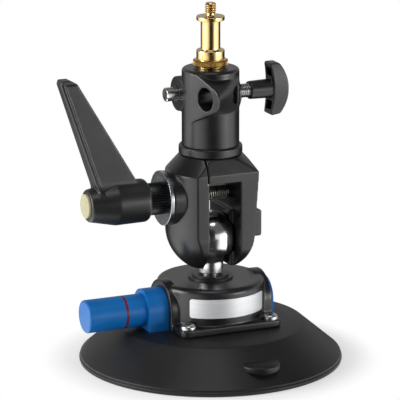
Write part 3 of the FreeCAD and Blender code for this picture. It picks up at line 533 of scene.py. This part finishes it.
stud = {"ball": 15.0, "middle": 72.5, "stem": 7.35, "foot": 51.6, "bottom": 33.0, "thread": 5.0,
        "chamfer": 0.4, "edge": 0.3, "clear": 0.06, "flare": ((0.0, 57.6), (0.05, 58.6), (0.25, 59.1)),
        "steps": 46, "step": 3.0, "sides": 128, "crisp": 30.0}


def makeStud():
    lean = math.asin(stud["stem"] / stud["ball"])
    start = lean + stud["clear"]
    steps = stud["steps"]
    rows = [(0.0, stud["bottom"]), (stud["thread"] - stud["chamfer"], stud["bottom"]),
            (stud["thread"], stud["bottom"] + stud["chamfer"]), (stud["thread"], stud["foot"]),
            (stud["stem"] - stud["edge"], stud["foot"]), (stud["stem"], stud["foot"] + stud["edge"])]
    rows += [(stud["stem"] + out, height) for out, height in stud["flare"]]
    for k in range(steps + 1):
        turn = start + (math.pi - start) * k / steps
        rows.append((stud["ball"] * math.sin(turn) if k < steps else 0.0,
                     stud["middle"] - stud["ball"] * math.cos(turn)))
    piece = turned("ballTurned", filled(rows, stud["step"]), stud["sides"])
    crisp(piece, stud["crisp"])
    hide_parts("ball_stud")
    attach(piece, "ball_stud")
    dress(piece, "chrome")


# Coil springs in millimetres, each with the joint that would press it towards its fixed end. Keep is the
# share of the length that is left at the joint's limit. The springs are made at full length and don't follow
# their joint.
springs = {
    "plungerCoil": {"node": "plunger_spring", "body": "base", "joint": "plunger_press", "turns": 9,
                    "coil": 5.4, "wire": 0.5, "low": -66.8, "high": -9.5, "across": 0.0, "height": 33.4,
                    "fixed": -9.5, "keep": 0.546},
    "valveCoil": {"node": "valve_spring", "body": "base", "joint": "valve_press", "turns": 3,
                  "coil": 3.2, "wire": 0.4, "low": 9.5, "high": 15.0, "across": 0.0, "height": 33.4,
                  "fixed": 9.5, "keep": 0.673},
    "leverCoil": {"node": "lever_spring", "body": "clamp_screw", "joint": "lever_lift", "turns": 4,
                  "coil": 4.2, "wire": 0.5, "low": -66.0, "high": -57.0, "across": 0.0, "height": 98.0,
                  "fixed": -66.0, "keep": 0.556},
    "latchCoil": {"node": "latch_spring", "body": "socket", "joint": "latch_press", "turns": 5,
                  "coil": 2.9, "wire": 0.35, "low": 4.2, "high": 12.0, "across": 9.8, "height": 155.4,
                  "fixed": 12.0, "keep": 0.359},
}
springSteps = 36          # places along each turn
springSides = 10          # corners round the wire
springSeat = 0.15         # room at each end


def springPoint(plan, share, radius, lift):
    turn = 2 * math.pi * plan["turns"] * share
    length = plan["high"] - plan["low"] - 2 * (plan["wire"] + springSeat)
    start = plan["low"] + plan["wire"] + springSeat
    return Vector((start + length * share + lift, plan["across"] + radius * math.cos(turn),
                   plan["height"] + radius * math.sin(turn)))


def makeSpring(name, plan):
    mesh = bpy.data.meshes.new(name)
    build = bmesh.new()
    count = plan["turns"] * springSteps
    rings = []
    for k in range(count + 1):
        ring = []
        for side in range(springSides):
            turn = 2 * math.pi * side / springSides
            radius = plan["coil"] + plan["wire"] * math.cos(turn)
            lift = plan["wire"] * math.sin(turn)
            ring.append(build.verts.new(springPoint(plan, k / count, radius, lift) * mm))
        rings.append(ring)
    for low, high in zip(rings, rings[1:]):
        for side in range(springSides):
            after = (side + 1) % springSides
            build.faces.new((low[side], low[after], high[after], high[side]))
    build.faces.new(rings[0])
    build.faces.new(rings[-1])
    bmesh.ops.recalc_face_normals(build, faces=build.faces)
    build.to_mesh(mesh)
    build.free()
    mesh.shade_smooth()
    piece = linked(name, mesh)
    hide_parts(plan["node"])
    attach(piece, plan["body"])
    dress(piece, "wire")
    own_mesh(piece)


makeCup()
makeTab()
makeSpigot()
makeClampScrew()
makeStud()
for name, plan in springs.items():
    makeSpring(name, plan)
print("turned pieces and springs made")


# Floor, world and lamps
stagePlan = {"floorSize": 6.0, "floorDrop": 0.0003, "floorGrey": 0.93, "keepShadow": 0.5,
             "shadowInner": 0.077, "shadowOuter": 0.1, "worldLight": 0.34}
white = (1, 1, 1, 1)


def makeFloor():
    half = stagePlan["floorSize"] / 2
    mesh = bpy.data.meshes.new("floor")
    corners = [(-half, -half, 0), (half, -half, 0), (half, half, 0), (-half, half, 0)]
    mesh.from_pydata(corners, [], [(0, 1, 2, 3)])
    floor = linked("floor", mesh)
    floor.location.z = -stagePlan["floorDrop"]
    f = newFinish("floorPaper")
    grey = stagePlan["floorGrey"]
    paper = f.add("ShaderNodeBsdfDiffuse", {}, {"Color": (grey, grey, grey, 1)})
    glow = f.add("ShaderNodeEmission", {}, {"Color": white, "Strength": 1.0})
    x, y = f.axes(f.place())[:2]
    away = (x * x + y * y) ** 0.5
    near = f.spread(away, stagePlan["shadowInner"], stagePlan["shadowOuter"], stagePlan["keepShadow"], 0.0)
    share = f.seen() * (1 - near)
    blend = f.add("ShaderNodeMixShader", {}, {0: share, 1: paper, 2: glow})
    f.add("ShaderNodeOutputMaterial", {}, {"Surface": blend})
    mesh.materials.append(f.holder)


def makeWorld():
    world = bpy.data.worlds.new("studio")
    bpy.context.scene.world = world
    f = Finish(world)
    strength = f.spread(f.seen(), 0.0, 1.0, stagePlan["worldLight"], 1.0)
    sky = f.add("ShaderNodeBackground", {}, {"Color": white, "Strength": strength})
    f.add("ShaderNodeOutputWorld", {}, {"Surface": sky})


lamps = {
    "softboxLeft": {"turn": -98.0, "rise": 12.0, "away": 1.5, "size": (0.8, 1.1), "watts": 22.0},
    "softboxRight": {"turn": 38.0, "rise": -1.0, "away": 1.5, "size": (0.6, 0.5), "watts": 10.0},
    "softboxTop": {"turn": -24.0, "rise": 72.0, "away": 1.6, "size": (0.9, 0.6), "watts": 5.0},
}


# Makes a surface of the stage glow, and shows it only in reflections
def mirrored(piece, finish, strength):
    glow = finish.add("ShaderNodeEmission", {}, {"Color": white, "Strength": strength})
    finish.add("ShaderNodeOutputMaterial", {}, {"Surface": glow})
    piece.data.materials.append(finish.holder)
    piece.visible_camera = False
    piece.visible_diffuse = False
    piece.visible_shadow = False


# Cards, seen only in reflections: a dark one behind the camera, grey ones behind the object and overhead
cards = {
    "cardFront": {"turn": -24.0, "rise": 15.0, "away": 2.0, "size": (1.6, 2.6), "light": 0.012},
    "cardLeft": {"turn": -176.0, "rise": 10.0, "away": 1.8, "size": (1.9, 2.6), "light": 0.45},
    "cardRight": {"turn": 128.0, "rise": 10.0, "away": 1.8, "size": (1.9, 2.6), "light": 0.45},
    "cardTop": {"turn": -24.0, "rise": 90.0, "away": 2.2, "size": (3.0, 3.0), "light": 0.17},
}
aim = Vector((0, 0, 0.10))


# A place round the object, by its turn from the front and its rise above the horizon, in degrees
def around(plan):
    turn = math.radians(plan["turn"])
    rise = math.radians(plan["rise"])
    way = Vector((math.sin(turn) * math.cos(rise), -math.cos(turn) * math.cos(rise), math.sin(rise)))
    return aim + way * plan["away"], way.to_track_quat("Z", "Y")


def makeLamp(name, plan):
    light = bpy.data.lights.new(name, "AREA")
    light.shape = "RECTANGLE"
    light.size, light.size_y = plan["size"]
    light.energy = plan["watts"]
    lamp = linked(name, light)
    lamp.rotation_mode = "QUATERNION"
    lamp.location, lamp.rotation_quaternion = around(plan)
    lamp.visible_camera = False


def makeCard(name, plan):
    wide, tall = plan["size"]
    mesh = bpy.data.meshes.new(name)
    ways = ((-1, -1), (1, -1), (1, 1), (-1, 1))
    corners = [(x * wide / 2, y * tall / 2, 0) for x, y in ways]
    mesh.from_pydata(corners, [], [(0, 1, 2, 3)])
    card = linked(name, mesh)
    card.rotation_mode = "QUATERNION"
    card.location, card.rotation_quaternion = around(plan)
    mirrored(card, newFinish(name), plan["light"])


# A band round the object between two rims, each given by its radius and height in metres
def bandMesh(name, rims, sides):
    mesh = bpy.data.meshes.new(name)
    points = []
    for k in range(sides):
        turn = 2 * math.pi * k / sides
        for away, height in rims:
            points.append((away * math.sin(turn), -away * math.cos(turn), height))
    faces = [(2 * k, 2 * k + 1, (2 * k + 3) % (2 * sides), (2 * k + 2) % (2 * sides)) for k in range(sides)]
    mesh.from_pydata(points, [], faces)
    return mesh


# What upright faces mirror: a low sheet round the object, bright at both sides, dark in front and behind.
# Left and right are turn, half width in degrees and strength.
bounce = {"inner": 0.079, "outer": 3.0, "height": 0.0012, "steps": 120, "floor": 0.03, "power": 0.9,
          "left": (-93.0, 60.0, 2.4), "right": (48.0, 44.0, 2.1)}


def bounceStrength(turn):
    total = bounce["floor"]
    for side in ("left", "right"):
        middle, half, strength = bounce[side]
        share = ((turn - middle + 180.0) % 360.0 - 180.0) / half
        total += strength * max(0.0, 1.0 - share * share) ** bounce["power"]
    return total


def makeBounce():
    steps = bounce["steps"]
    rims = ((bounce["inner"], bounce["height"]), (bounce["outer"], bounce["height"]))
    mesh = bandMesh("bounceSheet", rims, steps)
    light = mesh.attributes.new("light", "FLOAT", "POINT")
    for k in range(steps):
        strength = bounceStrength(360.0 * k / steps)
        light.data[2 * k].value = strength
        light.data[2 * k + 1].value = strength
    f = newFinish("bounceSheet")
    strength = f.add("ShaderNodeAttribute", {"attribute_name": "light"}, out="Fac")
    mirrored(linked("bounceSheet", mesh), f, strength)


# Grey hood overhead, seen only in reflections of surfaces that lean back
hood = {"low": (2.4, 0.85), "high": (0.9, 2.3), "sides": 48, "light": 0.12}


def makeHood():
    mesh = bandMesh("hood", (hood["low"], hood["high"]), hood["sides"])
    mirrored(linked("hood", mesh), newFinish("hood"), hood["light"])


makeFloor()
makeWorld()
makeBounce()
makeHood()
for name, plan in lamps.items():
    makeLamp(name, plan)
for name, plan in cards.items():
    makeCard(name, plan)
print("stage set")

cameraPlan = {"place": (-0.671, -1.507, 0.520), "target": (0, 0, 0.0936), "lens": 268.2, "sensor": 36.0,
              "shiftX": -0.02625}


def makeCamera():
    lens = bpy.data.cameras.new("camera")
    lens.lens = cameraPlan["lens"]
    lens.sensor_width = cameraPlan["sensor"]
    lens.shift_x = cameraPlan["shiftX"]
    camera = linked("camera", lens)
    camera.location = cameraPlan["place"]
    look = Vector(cameraPlan["target"]) - camera.location
    camera.rotation_mode = "QUATERNION"
    camera.rotation_quaternion = look.to_track_quat("-Z", "Y")
    bpy.context.scene.camera = camera


makeCamera()
bpy.context.scene.view_settings.view_transform = "Standard"
